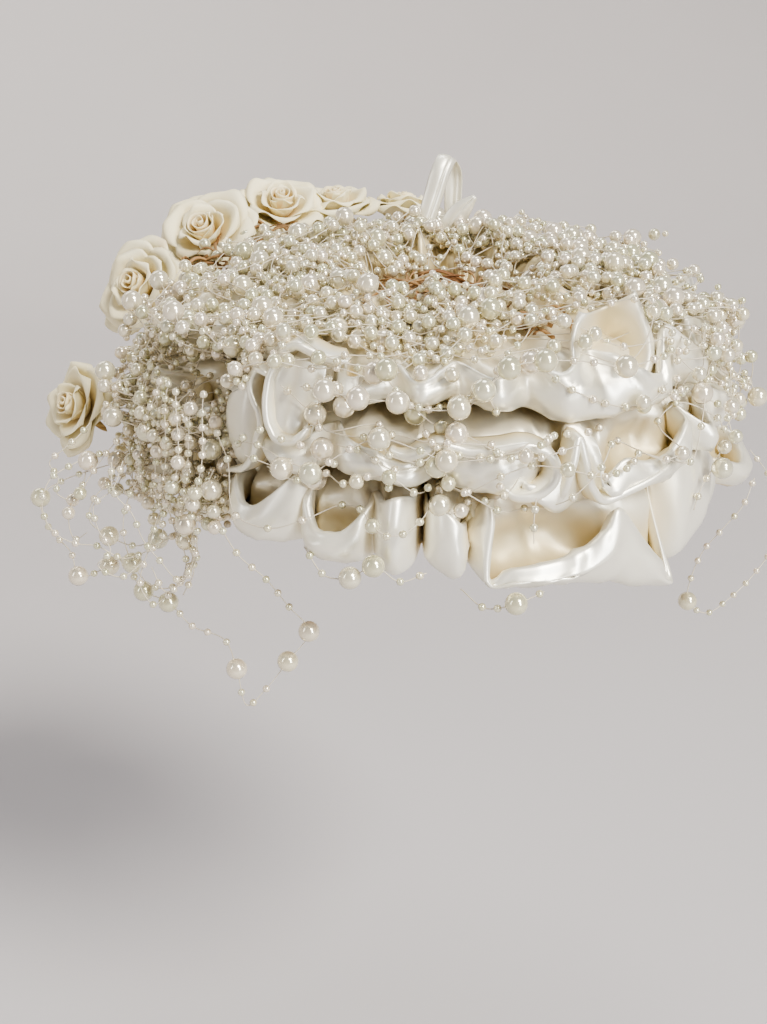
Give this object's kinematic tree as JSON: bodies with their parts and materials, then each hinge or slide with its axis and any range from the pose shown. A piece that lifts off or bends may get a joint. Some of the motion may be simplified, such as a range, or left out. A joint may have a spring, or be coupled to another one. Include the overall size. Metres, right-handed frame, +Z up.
{
  "type": "fascinator",
  "caption": "Bridal fascinator worn on the crown of the head: a straw cap under gathered satin ruffles, with paper roses and trailing strings of pearls.",
  "frame": {"origin": "the inside top of the straw cap, where the crown of the head sits", "axes": "+X to the camera's right across the hat, +Y to the back, +Z up; the hat is worn tipped forward by 7 degrees about X"},
  "size_m": [0.311, 0.253, 0.1895],
  "materials": {
    "straw": "woven brown straw, matt",
    "satin": "glossy ivory satin",
    "paper": "cream mulberry paper, matt",
    "stem": "tan floral tape, matt",
    "pearl": "ivory pearl lustre on clear line"
  },
  "bodies": {
    "root": {"straw_base": "straw", "lower_ruffle": "satin", "middle_ruffle": "satin", "crown_ruffle": "satin", "satin_loop": "satin", "rose_1": "paper", "rose_2": "paper", "rose_3": "paper", "rose_4": "paper", "rose_5": "paper", "rose_6": "paper", "rose_stem_1": "stem", "rose_stem_2": "stem", "rose_stem_3": "stem", "rose_stem_4": "stem", "rose_stem_5": "stem", "rose_stem_6": "stem", "pearl_bundle_left_low": "pearl", "pearl_bundle_left_middle": "pearl", "pearl_bundle_left_top": "pearl", "pearl_bundle_crown": "pearl", "pearl_bundle_back": "pearl", "pearl_bundle_right": "pearl", "pearl_string_left_long": "pearl", "pearl_string_left_short": "pearl", "pearl_string_right": "pearl", "pearl_string_brim": "pearl", "pearl_string_boat": "pearl", "pearl_string_front_high": "pearl", "pearl_string_front_low": "pearl"}
  },
  "joints": []
}
